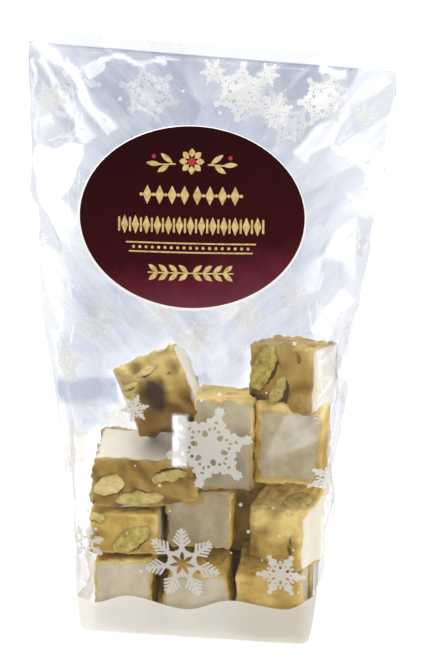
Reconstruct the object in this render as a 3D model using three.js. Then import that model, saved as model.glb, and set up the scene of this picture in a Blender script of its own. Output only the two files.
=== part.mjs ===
// A filled, clear block-bottom bag with a paper label, standing on its base.
// Millimetres, +Z up, the front faces -Y, the origin is the middle of the base.
import * as THREE from "three";
import { mergeVertices } from "three/addons/utils/BufferGeometryUtils.js";

// Driving sizes
const FRONT_WIDTH = 102;
const SIDE_DEPTH = 56;
const BAG_HEIGHT = 261;
const SEAL_HEIGHT = 5;
const SEAL_THICKNESS = 0.8;
const BASE_EDGE_RADIUS = 2;
const CORNER_RADIUS = 4.5;
const TOP_CORNER_RADIUS = 1.5;

// How the filled bag has settled
const FRONT_BULGE = 4;
const SIDE_BULGE = 1.5;
const SIDEWAYS_LEAN = -3;
const TOP_TWIST = THREE.MathUtils.degToRad(-4);
const TOP_SLOPE = Math.tan(THREE.MathUtils.degToRad(1.55));

// Label
const LABEL_WIDTH = 95.5;
const LABEL_HEIGHT = 75.5;
const LABEL_ACROSS = -2;
const LABEL_UP = 191.5;
const LABEL_TILT = THREE.MathUtils.degToRad(2.6);
const LABEL_THICKNESS = 0.4;
const LABEL_GAP = 0.6;

// Mesh steps
const STEPS_ROUND = 78;
const STEPS_UP = 40;
const BASE_EDGE_STEPS = 3;
const LABEL_STEPS_ROUND = 48;
const LABEL_RINGS = 5;

const HALF_FRONT = FRONT_WIDTH / 2;
const HALF_GUSSET = SIDE_DEPTH / 2;
const GIRTH = 2 * (FRONT_WIDTH + SIDE_DEPTH);

// Folds in the film. Each runs between two places given as millimetres round the bag
// from the middle of the front, positive to the right, and millimetres up.
const FOLDS = [
  { from: [-72, 256], to: [-50, 243], height: 2.5, width: 12 },
  { from: [-50, 243], to: [-38, 226], height: 2.5, width: 12 },
  { from: [-70, 217], to: [-52, 221], height: 3, width: 9 },
  { from: [-70, 196], to: [-50, 174], height: 3, width: 12 },
  { from: [-62, 205], to: [-56, 190], height: -2.5, width: 12 },
  { from: [74, 252], to: [50, 238], height: 2.5, width: 12 },
  { from: [50, 238], to: [34, 222], height: 2.5, width: 12 },
  { from: [54, 226], to: [76, 208], height: 2.5, width: 11 },
  { from: [76, 208], to: [52, 193], height: 3, width: 11 },
  { from: [64, 184], to: [54, 148], height: -4.5, width: 16 },
  { from: [74, 176], to: [60, 146], height: 2.5, width: 11 },
  { from: [-62, 150], to: [-54, 118], height: 2, width: 12 },
  { from: [-110, 236], to: [-150, 200], height: 2.5, width: 13 },
  { from: [112, 232], to: [146, 190], height: 2.5, width: 13 },
];

function smoothstep(low, high, value) {
  return THREE.MathUtils.smoothstep(value, low, high);
}

// Section of the bag at one height: a flat front and back joined by two folded gussets,
// square at the base and pressed flat at the top. Returns [x, y].
function sectionPoint(round, up) {
  const rise = Math.min(up / (BAG_HEIGHT - SEAL_HEIGHT), 1);
  const fold = HALF_FRONT + HALF_GUSSET * rise;
  const depth = Math.max(HALF_GUSSET * (1 - rise ** 2) ** 0.6, SEAL_THICKNESS / 2);
  let along = (((round % GIRTH) + GIRTH) % GIRTH);
  const side = along > GIRTH / 2 ? -1 : 1;
  along = side > 0 ? along : GIRTH - along;
  const swell = Math.sin(Math.PI * rise);
  const front = (x) => depth + FRONT_BULGE * swell * (1 - (x / HALF_FRONT) ** 2);
  if (along < HALF_FRONT) {
    return [side * along, -front(along)];
  }
  if (along > GIRTH / 2 - HALF_FRONT) {
    return [side * (GIRTH / 2 - along), front(GIRTH / 2 - along)];
  }
  const across = (along - HALF_FRONT) / HALF_GUSSET - 1;
  const puff = SIDE_BULGE * swell * (1 - Math.abs(across)) * 2;
  const x = THREE.MathUtils.lerp(fold, HALF_FRONT, Math.abs(across)) + puff;
  return [side * x, across * depth];
}

// The same section with its corners rounded, by averaging it over a short stretch.
function softSection(round, up) {
  const reach = THREE.MathUtils.lerp(CORNER_RADIUS, TOP_CORNER_RADIUS, smoothstep(60, 200, up));
  const samples = [-1, -0.5, 0, 0.5, 1];
  const sum = [0, 0];
  for (const step of samples) {
    const point = sectionPoint(round + step * reach, up);
    sum[0] += point[0] / samples.length;
    sum[1] += point[1] / samples.length;
  }
  return sum;
}

// Height of the creases above the smooth film, with a sharp crest on each fold.
function creaseHeight(round, up) {
  let height = 0;
  for (const fold of FOLDS) {
    const line = new THREE.Line3(
      new THREE.Vector3(fold.from[0], fold.from[1], 0),
      new THREE.Vector3(fold.to[0], fold.to[1], 0),
    );
    const place = new THREE.Vector3(round, up, 0);
    const nearest = line.closestPointToPoint(place, true, new THREE.Vector3());
    height += fold.height * Math.max(0, 1 - place.distanceTo(nearest) / fold.width);
  }
  const labelReach = Math.hypot(
    (round - LABEL_ACROSS) / (LABEL_WIDTH / 2),
    (up - LABEL_UP) / (LABEL_HEIGHT / 2),
  );
  const sealReach = BAG_HEIGHT - SEAL_HEIGHT - up;
  return height * smoothstep(1.02, 1.25, labelReach) * smoothstep(0, 12, sealReach);
}

// A place on the film, moved out by `lift`.
function filmPoint(round, up, lift = 0) {
  const step = 1;
  const wrapped = round > GIRTH / 2 ? round - GIRTH : round;
  const [x, y] = softSection(wrapped, up);
  const [aheadX, aheadY] = softSection(wrapped + step, up);
  const [behindX, behindY] = softSection(wrapped - step, up);
  const outward = new THREE.Vector2(aheadY - behindY, behindX - aheadX).normalize();
  const out = creaseHeight(wrapped, up) + lift;
  const point = new THREE.Vector3(x + outward.x * out, y + outward.y * out, up);
  const rise = up / BAG_HEIGHT;
  point.z -= point.x * TOP_SLOPE * rise ** 3;
  point.applyAxisAngle(new THREE.Vector3(0, 0, 1), TOP_TWIST * rise ** 2);
  point.x += SIDEWAYS_LEAN * Math.sin(Math.PI * rise);
  return point;
}

// Moves every vertex of a geometry and welds it into one closed mesh.
function reshape(geometry, place) {
  geometry.deleteAttribute("normal");
  geometry.deleteAttribute("uv");
  const positions = geometry.attributes.position;
  const point = new THREE.Vector3();
  for (let index = 0; index < positions.count; index += 1) {
    point.fromBufferAttribute(positions, index);
    const moved = place(point);
    positions.setXYZ(index, moved.x, moved.y, moved.z);
  }
  const welded = mergeVertices(geometry, 1e-3);
  welded.computeVertexNormals();
  return welded;
}

// The filled bag: a cylinder's rows drawn round the film, with a rounded edge at the base.
function bagGeometry() {
  const rows = BASE_EDGE_STEPS + STEPS_UP;
  const cylinder = new THREE.CylinderGeometry(1, 1, rows, STEPS_ROUND, rows);
  return reshape(cylinder, (point) => {
    const row = Math.round(point.y + rows / 2);
    const radius = Math.hypot(point.x, point.z);
    const round = (Math.atan2(point.x, point.z) / (2 * Math.PI)) * GIRTH;
    const edge = Math.min(row / BASE_EDGE_STEPS, 1) * (Math.PI / 2);
    const climbed = Math.max(row - BASE_EDGE_STEPS, 0) / STEPS_UP;
    const up = BASE_EDGE_RADIUS + (BAG_HEIGHT - BASE_EDGE_RADIUS) * climbed;
    const inset = BASE_EDGE_RADIUS * (1 - Math.sin(edge));
    const drop = BASE_EDGE_RADIUS * Math.cos(edge);
    const placed = filmPoint(round, up, -inset);
    placed.z -= row < BASE_EDGE_STEPS ? drop : 0;
    if (radius < 0.5) {
      const opposite = filmPoint(round + GIRTH / 2, up, -inset);
      placed.add(opposite).multiplyScalar(0.5);
      placed.z = row === 0 ? 0 : placed.z;
    } else if (row === 0) {
      placed.z = 0;
    }
    return placed;
  });
}

// The label: a sphere's rings pressed into an oval sheet that follows the film.
function labelGeometry() {
  const rings = 2 * LABEL_RINGS + 1;
  const sphere = new THREE.SphereGeometry(1, LABEL_STEPS_ROUND, rings);
  return reshape(sphere, (point) => {
    const ring = Math.round((Math.acos(THREE.MathUtils.clamp(point.y, -1, 1)) / Math.PI) * rings);
    const outer = ring <= LABEL_RINGS;
    const reach = (outer ? ring : rings - ring) / LABEL_RINGS;
    const angle = Math.atan2(-point.z, point.x);
    const across = reach * (LABEL_WIDTH / 2) * Math.cos(angle);
    const along = reach * (LABEL_HEIGHT / 2) * Math.sin(angle);
    const round = LABEL_ACROSS + across * Math.cos(LABEL_TILT) - along * Math.sin(LABEL_TILT);
    const up = LABEL_UP + across * Math.sin(LABEL_TILT) + along * Math.cos(LABEL_TILT);
    return filmPoint(round, up, LABEL_GAP + (outer ? LABEL_THICKNESS : 0));
  });
}

const filmMaterial = new THREE.MeshStandardMaterial({ color: 0xcfc3a6, roughness: 0.25, metalness: 0 });
const labelMaterial = new THREE.MeshStandardMaterial({ color: 0x451620, roughness: 0.35, metalness: 0 });

const bag = new THREE.Mesh(bagGeometry(), filmMaterial);
bag.name = "bag";

const label = new THREE.Mesh(labelGeometry(), labelMaterial);
label.name = "label";

const group = new THREE.Group();
group.add(bag, label);

export default group;
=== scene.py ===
# A clear block-bottom bag of cut nougat, printed with snow and snowflakes, with an oval label.
import math
import random

import bmesh
import bpy
import numpy as np
from mathutils import Matrix, Vector


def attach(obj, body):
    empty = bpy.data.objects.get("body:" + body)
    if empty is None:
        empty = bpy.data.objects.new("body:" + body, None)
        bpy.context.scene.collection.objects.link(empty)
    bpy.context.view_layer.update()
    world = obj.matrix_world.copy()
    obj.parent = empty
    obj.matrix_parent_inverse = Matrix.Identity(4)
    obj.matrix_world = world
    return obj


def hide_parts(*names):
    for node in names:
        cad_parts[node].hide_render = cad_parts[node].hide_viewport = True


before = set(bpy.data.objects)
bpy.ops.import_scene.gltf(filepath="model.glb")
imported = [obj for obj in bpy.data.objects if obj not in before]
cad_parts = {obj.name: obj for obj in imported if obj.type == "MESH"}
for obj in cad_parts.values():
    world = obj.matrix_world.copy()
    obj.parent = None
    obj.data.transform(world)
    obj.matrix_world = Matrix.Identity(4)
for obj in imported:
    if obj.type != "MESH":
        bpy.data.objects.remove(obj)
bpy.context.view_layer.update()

# Driving sizes of the bag, in millimetres: +Z up, the front faces -Y
MM = 0.001
FRONT_WIDTH = 102.0
SIDE_DEPTH = 56.0
BAG_HEIGHT = 261.0
SEAL_HEIGHT = 5.0
SEAL_THICKNESS = 0.8
BASE_EDGE_RADIUS = 2.0
CORNER_RADIUS = 4.5
TOP_CORNER_RADIUS = 1.5
FRONT_BULGE = 4.0
SIDE_BULGE = 1.5
SIDEWAYS_LEAN = -3.0
TOP_TWIST = math.radians(-4)
TOP_SLOPE = math.tan(math.radians(1.55))

HALF_FRONT = FRONT_WIDTH / 2
HALF_GUSSET = SIDE_DEPTH / 2
GIRTH = 2 * (FRONT_WIDTH + SIDE_DEPTH)

# Label
LABEL_WIDTH = 95.5
LABEL_HEIGHT = 75.5
LABEL_ACROSS = -2.0
LABEL_UP = 191.5
LABEL_TILT = math.radians(2.6)
LABEL_RIM = 0.8
LABEL_MISPRINT = 0.6

# How far each layer stands off the film
INK_LIFT = 0.12
PAPER_LIFT = 0.5
PAPER_THICKNESS = 0.35
LABEL_INK_STEP = 0.08

# Folds in the film: from and to are millimetres round the bag, from the middle of the front
# and positive to the right, and millimetres up. Height is the crest's, width its reach.
FOLDS = [
    ((-72, 256), (-50, 243), 2.5, 12),
    ((-50, 243), (-38, 226), 2.5, 12),
    ((-70, 217), (-52, 221), 3.0, 9),
    ((-70, 196), (-50, 174), 3.0, 12),
    ((-62, 205), (-56, 190), -2.5, 12),
    ((74, 252), (50, 238), 2.5, 12),
    ((50, 238), (34, 222), 2.5, 12),
    ((54, 226), (76, 208), 2.5, 11),
    ((76, 208), (52, 193), 3.0, 11),
    ((64, 184), (54, 148), -4.5, 16),
    ((74, 176), (60, 146), 2.5, 11),
    ((-62, 150), (-54, 118), 2.0, 12),
    ((-110, 236), (-150, 200), 2.5, 13),
    ((112, 232), (146, 190), 2.5, 13),
    ((56, 76), (56, 110), 6.0, 18),
    ((53, 121), (52, 140), 5.0, 17),
    ((60, 35), (61, 62), 6.0, 17),
]


def crinkles(count, seed):
    """Small seeded folds: many above the fill and on the sides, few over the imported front."""
    draw = random.Random(seed)
    folds = []
    while len(folds) < count:
        round_mm = draw.uniform(-GIRTH / 2, GIRTH / 2)
        up_mm = draw.uniform(8, BAG_HEIGHT - 10)
        packed_front = abs(round_mm) < HALF_FRONT and up_mm < 145
        if packed_front and draw.random() < 0.8:
            continue
        length = draw.uniform(8, 34)
        turn = draw.uniform(0, math.pi)
        if up_mm < 150:
            turn = draw.gauss(math.pi / 2, 0.5)
        reach = (math.cos(turn) * length / 2, math.sin(turn) * length / 2)
        height = draw.uniform(0.25, 0.8) * draw.choice((-1, 1, 1))
        start = (round_mm - reach[0], up_mm - reach[1])
        end = (round_mm + reach[0], up_mm + reach[1])
        folds.append((start, end, height, draw.uniform(3, 8)))
    return folds


ALL_FOLDS = FOLDS + crinkles(110, seed=4)

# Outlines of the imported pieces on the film, as corners in millimetres round and up
PACKED = [
    ((-50, -20), (-51, 90), (-42, 97), (-2, 97), (-2, -20)),
    ((-34.5, 123), (-8, 139), (4, 118), (3, 107), (-20.5, 93)),
    ((-3, -20), (-3, 114), (24, 119), (24, -20)),
    ((22, -20), (23.5, 137), (54, 143), (62, 112), (56, -20)),
    ((-170, -20), (-170, 100), (-109, 96), (-107, -20)),
    ((170, -20), (170, 100), (109, 96), (107, -20)),
]
FILL_TOP = 140.0
FACET_HEIGHT = 1.1
FACET_EDGE = 5.0


def wrap(round_mm):
    """Brings a place round the bag within half the girth of the front's middle."""
    return (round_mm + GIRTH / 2) % GIRTH - GIRTH / 2


def facet_seeds(count, seed):
    """Middles of the crumpled facets: place, direction, stretch, height, painted sheen and tint."""
    draw = random.Random(seed)
    seeds = []
    for _ in range(count):
        round_mm = draw.uniform(-GIRTH / 2, GIRTH / 2)
        up_mm = draw.uniform(0, BAG_HEIGHT)
        on_back = abs(round_mm) > GIRTH / 4
        lean = -1 if (round_mm < 0) != on_back else 1
        angle = lean * math.radians(draw.gauss(48, 22) if up_mm > FILL_TOP else draw.gauss(80, 18))
        sheen = min(max(0.0, draw.gauss(0.0, 0.32)), 0.7)
        stretch = draw.uniform(1.1, 1.9)
        height = draw.uniform(-1, 1)
        tint = draw.uniform(0.2, 1.3)
        seeds.append((round_mm, up_mm, angle, stretch, height, sheen, tint))
    return seeds


FACETS = facet_seeds(230, seed=21)


def facets(round_mm, up_mm):
    """Height, painted sheen and tint of the crumpled facets: each place belongs to its nearest facet,
    and the film is creased where two facets meet."""
    shape = np.shape(round_mm)
    nearest = np.full(shape, 1e6)
    second = np.full(shape, 1e6)
    own = np.zeros(shape, int)
    other = np.zeros(shape, int)
    for index, (seed_round, seed_up, angle, stretch, *_) in enumerate(FACETS):
        offset_round = wrap(round_mm - seed_round)
        offset_up = up_mm - seed_up
        along = (offset_round * math.cos(angle) + offset_up * math.sin(angle)) / stretch
        aside = (offset_up * math.cos(angle) - offset_round * math.sin(angle)) * stretch
        distance = np.hypot(along, aside)
        closer = distance < nearest
        between = ~closer & (distance < second)
        second = np.where(closer, nearest, np.where(between, distance, second))
        other = np.where(closer, own, np.where(between, index, other))
        nearest = np.where(closer, distance, nearest)
        own = np.where(closer, index, own)
    table = np.array(FACETS)
    apart = second - nearest
    height = table[own, 4] * np.minimum(apart, FACET_EDGE) / FACET_EDGE
    blend = 0.5 + 0.5 * np.clip(apart / 1.4, 0, 1)
    sheen = table[own, 5] * blend + table[other, 5] * (1 - blend)
    tint = table[own, 6] * blend + table[other, 6] * (1 - blend)
    return height, sheen, tint


def outside_of(corners, round_mm, up_mm):
    """How far each place is outside the sides of a convex outline, negative inside it."""
    middle = np.mean(corners, axis=0)
    outside = np.full(np.shape(round_mm), -1e3)
    for start, end in zip(corners, corners[1:] + corners[:1]):
        out = np.array((end[1] - start[1], start[0] - end[0])) / math.dist(start, end)
        out *= np.sign(out @ (np.array(start) - middle))
        outside = np.maximum(outside, (round_mm - start[0]) * out[0] + (up_mm - start[1]) * out[1])
    return outside


def looseness(round_mm, up_mm):
    """0 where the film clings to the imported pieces, 1 where it hangs loose."""
    wrapped = wrap(round_mm)
    nearest = np.minimum.reduce([outside_of(corners, wrapped, up_mm) for corners in PACKED])
    return ramp(-2, 3, nearest)


def ramp(low, high, value):
    """Smooth step from 0 at low to 1 at high."""
    t = np.clip((value - low) / (high - low), 0, 1)
    return t * t * (3 - 2 * t)


def section_point(round_mm, up_mm):
    """The bag's section: flat front and back joined by folded gussets, flat at the top."""
    rise = np.minimum(up_mm / (BAG_HEIGHT - SEAL_HEIGHT), 1)
    fold = HALF_FRONT + HALF_GUSSET * rise
    depth = np.maximum(HALF_GUSSET * (1 - rise ** 2) ** 0.6, SEAL_THICKNESS / 2)
    swell = np.sin(np.pi * rise)
    wrapped = wrap(round_mm)
    side = np.where(wrapped < 0, -1.0, 1.0)
    along = np.abs(wrapped)
    on_front = along < HALF_FRONT
    on_back = along > GIRTH / 2 - HALF_FRONT
    panel_x = np.where(on_front, along, GIRTH / 2 - along)
    panel_y = depth + FRONT_BULGE * swell * (1 - (panel_x / HALF_FRONT) ** 2)
    across = (along - HALF_FRONT) / HALF_GUSSET - 1
    puff = SIDE_BULGE * swell * (1 - np.abs(across)) * 2
    side_x = fold + (HALF_FRONT - fold) * np.abs(across) + puff
    x = np.where(on_front | on_back, panel_x, side_x)
    y = np.where(on_front, -panel_y, np.where(on_back, panel_y, across * depth))
    return side * x, y


def soft_section(round_mm, up_mm):
    """The section with its corners rounded, by averaging it over a short stretch."""
    reach = CORNER_RADIUS + (TOP_CORNER_RADIUS - CORNER_RADIUS) * ramp(60, 200, up_mm)
    steps = (-1, -0.5, 0, 0.5, 1)
    points = [section_point(round_mm + step * reach, up_mm) for step in steps]
    return sum(p[0] for p in points) / len(steps), sum(p[1] for p in points) / len(steps)


def crease_height(round_mm, up_mm):
    """Height of the creases above the smooth film, smoothed out under the label and seal."""
    wrapped = wrap(round_mm)
    height = np.zeros_like(wrapped)
    for start, end, crest, width in ALL_FOLDS:
        run = np.array(end, float) - start
        length_squared = run @ run
        offset_round = wrapped - start[0]
        offset_up = up_mm - start[1]
        t = np.clip((offset_round * run[0] + offset_up * run[1]) / length_squared, 0, 1)
        distance = np.hypot(offset_round - t * run[0], offset_up - t * run[1])
        height += crest * np.maximum(0, 1 - distance / width)
    loose = 0.15 + 0.85 * looseness(wrapped, up_mm) * (1 - 0.4 * ramp(50, 20, up_mm))
    height += FACET_HEIGHT * facets(wrapped, up_mm)[0] * loose
    label_reach = np.hypot((wrapped - LABEL_ACROSS) * 2 / LABEL_WIDTH, (up_mm - LABEL_UP) * 2 / LABEL_HEIGHT)
    seal_reach = BAG_HEIGHT - SEAL_HEIGHT - up_mm
    return height * ramp(1.02, 1.25, label_reach) * ramp(0, 12, seal_reach)


def film_points(round_mm, up_mm, lift=0.0):
    """Places on the film, moved out by lift, as an array of x, y, z in millimetres."""
    round_mm = np.asarray(round_mm, float)
    up_mm = np.asarray(up_mm, float)
    x, y = soft_section(round_mm, up_mm)
    ahead = soft_section(round_mm + 1, up_mm)
    behind = soft_section(round_mm - 1, up_mm)
    out_x = ahead[1] - behind[1]
    out_y = behind[0] - ahead[0]
    out_length = np.hypot(out_x, out_y)
    out = crease_height(round_mm, up_mm) + lift
    x = x + out_x / out_length * out
    y = y + out_y / out_length * out
    rise = up_mm / BAG_HEIGHT
    z = up_mm - x * TOP_SLOPE * rise ** 3
    twist = TOP_TWIST * rise ** 2
    turned_x = x * np.cos(twist) - y * np.sin(twist)
    turned_y = x * np.sin(twist) + y * np.cos(twist)
    return np.stack([turned_x + SIDEWAYS_LEAN * np.sin(np.pi * rise), turned_y, z], axis=-1)


# Mesh helpers

def make_piece(name, points, faces, material):
    """A smooth mesh piece from points in millimetres, which rides on the bag."""
    mesh = bpy.data.meshes.new(name)
    mesh.from_pydata([tuple(p) for p in np.asarray(points, float) * MM], [], faces)
    mesh.validate()
    mesh.polygons.foreach_set("use_smooth", [True] * len(mesh.polygons))
    mesh.materials.append(material)
    piece = bpy.data.objects.new(name, mesh)
    bpy.context.scene.collection.objects.link(piece)
    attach(piece, "root")
    return piece


def store_values(piece, values):
    """Keeps named values at a piece's points, for its material to read."""
    for name, value in values.items():
        layer = piece.data.attributes.new(name, "FLOAT", "POINT")
        layer.data.foreach_set("value", value.astype(np.float32))


def sheet_faces(rows, columns, closed=False):
    """Quads of a grid of rows by columns, closed round on itself if asked."""
    faces = []
    for row in range(rows - 1):
        for column in range(columns if closed else columns - 1):
            after = (column + 1) % columns
            faces.append((
                row * columns + column,
                row * columns + after,
                (row + 1) * columns + after,
                (row + 1) * columns + column,
            ))
    return faces


def thicken(piece, thickness, offset):
    """Gives a sheet a real thickness in millimetres, outward for offset 1, both ways for 0."""
    solid = piece.modifiers.new("thickness", "SOLIDIFY")
    solid.thickness = thickness * MM
    solid.offset = offset


def contour_mesh(field, low, high, cell):
    """Flat mesh of the places where field is below 0, cut along its zero line."""
    xs = np.arange(low[0], high[0] + cell, cell)
    ys = np.arange(low[1], high[1] + cell, cell)
    grid_x, grid_y = np.meshgrid(xs, ys)
    values = field(grid_x, grid_y)
    points = []
    known = {}

    def node(row, column):
        key = (row, column)
        if key not in known:
            known[key] = len(points)
            points.append((xs[column], ys[row]))
        return known[key]

    def crossing(a, b):
        key = (a, b) if a < b else (b, a)
        if key not in known:
            va, vb = values[key[0]], values[key[1]]
            t = va / (va - vb)
            known[key] = len(points)
            points.append((
                xs[key[0][1]] + t * (xs[key[1][1]] - xs[key[0][1]]),
                ys[key[0][0]] + t * (ys[key[1][0]] - ys[key[0][0]]),
            ))
        return known[key]

    inside = values < 0
    touched = inside[:-1, :-1] | inside[1:, :-1] | inside[:-1, 1:] | inside[1:, 1:]
    faces = []
    for row, column in zip(*np.nonzero(touched)):
        corners = ((row, column), (row, column + 1), (row + 1, column + 1), (row + 1, column))
        ring = []
        for k in range(4):
            here, after = corners[k], corners[(k + 1) % 4]
            if inside[here]:
                ring.append(node(*here))
            if inside[here] != inside[after]:
                ring.append(crossing(here, after))
        faces.append(tuple(ring))
    return np.array(points), faces


class Print:
    """Collects flat shapes and lays them on the film as one piece."""

    def __init__(self):
        self.points = []
        self.faces = []
        self.count = 0

    def add(self, points, faces):
        self.points.append(np.asarray(points, float))
        self.faces += [tuple(index + self.count for index in face) for face in faces]
        self.count += len(points)

    def add_field(self, field, reach, cell, place=(0.0, 0.0), turn=0.0):
        """Adds the shape below 0 in field, centred on place and turned by turn degrees."""
        points, faces = contour_mesh(field, (-reach, -reach), (reach, reach), cell)
        angle = math.radians(turn)
        spin = np.array(((math.cos(angle), math.sin(angle)), (-math.sin(angle), math.cos(angle))))
        self.add(points @ spin + np.array(place), faces)

    def lay(self, name, material, lift, to_film=None):
        flat = np.concatenate(self.points)
        if to_film is not None:
            flat = to_film(flat)
        placed = film_points(flat[:, 0], flat[:, 1], lift)
        return make_piece(name, placed, self.faces, material)


# Flat shapes as distance fields, negative inside

def disc(x, y, centre, radius):
    return np.hypot(x - centre[0], y - centre[1]) - radius


def bar(x, y, start, end, half_width):
    """A straight bar with round ends."""
    run = np.array(end, float) - start
    t = np.clip(((x - start[0]) * run[0] + (y - start[1]) * run[1]) / (run @ run), 0, 1)
    return np.hypot(x - start[0] - t * run[0], y - start[1] - t * run[1]) - half_width


def lozenge(x, y, centre, half_width, half_height):
    reach = np.abs(x - centre[0]) / half_width + np.abs(y - centre[1]) / half_height
    return (reach - 1) * min(half_width, half_height) * 0.7


def oval(x, y, half_width, half_height):
    reach = np.hypot(x / half_width, y / half_height)
    slope = np.hypot(x / half_width ** 2, y / half_height ** 2)
    return reach * (reach - 1) / np.maximum(slope, 1e-6)


def leaf(x, y, start, end, half_width):
    """A pointed leaf between two places."""
    run = np.array(end, float) - start
    length = math.hypot(*run)
    along = ((x - start[0]) * run[0] + (y - start[1]) * run[1]) / length
    aside = (-(x - start[0]) * run[1] + (y - start[1]) * run[0]) / length
    t = np.clip(along / length, 0, 1)
    past = np.maximum(np.maximum(-along, along - length), 0)
    return np.hypot(np.abs(aside), past) - half_width * np.sin(np.pi * t)


def join(*fields):
    return np.minimum.reduce(fields)


def cut(field, *holes):
    return np.maximum(field, -join(*holes))


def one_arm(x, y, arms):
    """Folds the plane so that all arms of a star lie on +X, mirrored about it."""
    sector = 2 * math.pi / arms
    angle = np.arctan2(y, x)
    angle = np.abs((angle + sector / 2) % sector - sector / 2)
    radius = np.hypot(x, y)
    return radius * np.cos(angle), radius * np.sin(angle)


def lace_flake(size):
    """A star with knobs on its points, pierced by a ring of round holes and smaller ones."""
    unit = size / 19.0

    def field(x, y):
        x, y = x / unit, y / unit
        ax, ay = one_arm(x, y, 6)
        star = join(
            disc(ax, ay, (0, 0), 10.4),
            bar(ax, ay, (8.5, 3.2), (12.6, 0.9), 1.9),
            disc(ax, ay, (9.6, 5.2), 1.2),
            disc(ax, ay, (12.0, 3.3), 1.1),
            disc(ax, ay, (14.2, 1.0), 1.0),
            bar(ax, ay, (12, 0), (15.6, 0), 0.9),
        )
        knob = join(
            disc(ax, ay, (17.0, 0), 1.7),
            disc(ax, ay, (18.4, 0.9), 0.7),
            disc(ax, ay, (17.2, 1.7), 0.6),
            disc(ax, ay, (15.9, 1.4), 0.6),
        )
        holes = join(
            disc(ax, ay, (5.6, 3.2), 1.2),
            disc(ax, ay, (6.3, 3.7), 1.0),
            disc(ax, ay, (8.3, 2.0), 0.7),
            leaf(ax, ay, (8.4, 0), (10.6, 0), 0.5),
            disc(ax, ay, (12.0, 0.3), 0.55),
        )
        return cut(join(star, knob), holes) * unit
    return field


def fern_flake(size):
    """A flake with seven full fern arms round a lobed disc with a flower cut out of it."""
    unit = size / 17.0

    def field(x, y):
        x, y = x / unit, y / unit
        ax, ay = one_arm(x, y, 7)
        body = join(disc(ax, ay, (0, 0), 6.6), disc(ax, ay, (6.2, 0), 1.7))
        fronds = [bar(ax, ay, (6, 0), (16.2, 0), 0.7)]
        for step in range(4):
            root = 7.6 + 2.15 * step
            reach = 4.9 - 0.95 * step
            fronds.append(bar(ax, ay, (root, 0), (root + 0.7 * reach, 0.71 * reach), 0.56))
        petal = leaf(ax, ay, (0.2, 0), (5.9, 0), 0.95)
        return cut(join(body, *fronds), petal, disc(ax, ay, (0, 0), 0.8)) * unit
    return field


def knob_flake(size):
    """A plain flake: a full star body with small holes, and arms that end in knobs."""
    unit = size / 10.8

    def field(x, y):
        x, y = x / unit, y / unit
        ax, ay = one_arm(x, y, 6)
        body = join(
            disc(ax, ay, (0, 0), 5.2),
            bar(ax, ay, (4, 0), (7.0, 0), 1.7),
            disc(ax, ay, (7.0, 1.5), 0.7),
            disc(ax, ay, (5.2, 3.0), 0.7),
        )
        arm = join(bar(ax, ay, (7, 0), (9.6, 0), 0.7), disc(ax, ay, (9.6, 0), 1.15))
        holes = join(
            leaf(ax, ay, (2.2, 1.27), (4.1, 2.37), 0.6),
            disc(ax, ay, (4.6, 0), 0.4),
        )
        return cut(join(body, arm), holes) * unit
    return field


# Materials

def new_material(name):
    material = bpy.data.materials.new(name)
    material.use_nodes = True
    return material, material.node_tree, material.node_tree.nodes["Principled BSDF"]


def add_node(tree, kind, **values):
    node = tree.nodes.new(kind)
    for key, value in values.items():
        if key in node.inputs.keys():
            node.inputs[key].default_value = value
        else:
            setattr(node, key, value)
    return node


def set_inputs(node, values):
    for name, value in values.items():
        node.inputs[name].default_value = value


def feed(tree, value, socket):
    """Gives an input a constant, or links it to another node's output."""
    if isinstance(value, (int, float, tuple)):
        socket.default_value = value
    else:
        tree.links.new(value, socket)


def srgb(red, green, blue):
    """Linear colour of a 0 to 255 display colour."""
    def linear(value):
        value /= 255
        return value / 12.92 if value <= 0.04045 else ((value + 0.055) / 1.055) ** 2.4
    return (linear(red), linear(green), linear(blue), 1.0)


def noise_node(tree, scale, detail=4.0, roughness=0.6, stretch=(1, 1, 1)):
    """Noise in the piece's own place, scale in waves to the metre."""
    place = add_node(tree, "ShaderNodeTexCoord")
    mapping = add_node(tree, "ShaderNodeMapping")
    mapping.inputs["Scale"].default_value = stretch
    texture = add_node(tree, "ShaderNodeTexNoise", Scale=scale, Detail=detail, Roughness=roughness)
    tree.links.new(place.outputs["Object"], mapping.inputs["Vector"])
    tree.links.new(mapping.outputs["Vector"], texture.inputs["Vector"])
    return texture


def bump_node(tree, height, strength, distance):
    bump = add_node(tree, "ShaderNodeBump", Strength=strength, Distance=distance)
    tree.links.new(height, bump.inputs["Height"])
    return bump.outputs["Normal"]


def ramp_node(tree, value, stops):
    """A colour ramp with stops of (place, colour)."""
    node = tree.nodes.new("ShaderNodeValToRGB")
    elements = node.color_ramp.elements
    while len(elements) < len(stops):
        elements.new(0.5)
    for element, (place, colour) in zip(elements, stops):
        element.position = place
        element.color = colour
    tree.links.new(value, node.inputs["Fac"])
    return node.outputs["Color"]


def mix_colour(tree, factor, first, second):
    """Mixes two colours, each a socket or a constant, by a factor socket."""
    node = tree.nodes.new("ShaderNodeMix")
    node.data_type = "RGBA"
    tree.links.new(factor, node.inputs["Factor"])
    for name, value in (("A", first), ("B", second)):
        feed(tree, value, [s for s in node.inputs if s.name == name and s.type == "RGBA"][0])
    return [s for s in node.outputs if s.type == "RGBA"][0]


def math_node(tree, operation, *values, clamp=False):
    node = tree.nodes.new("ShaderNodeMath")
    node.operation = operation
    node.use_clamp = clamp
    for value, socket in zip(values, node.inputs):
        feed(tree, value, socket)
    return node.outputs[0]


def mix_shaders(tree, factor, first, second):
    """Mixes the shaders of two nodes by a factor, a socket or a constant."""
    node = tree.nodes.new("ShaderNodeMixShader")
    feed(tree, factor, node.inputs["Fac"])
    tree.links.new(first.outputs[0], node.inputs[1])
    tree.links.new(second.outputs[0], node.inputs[2])
    return node


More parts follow.
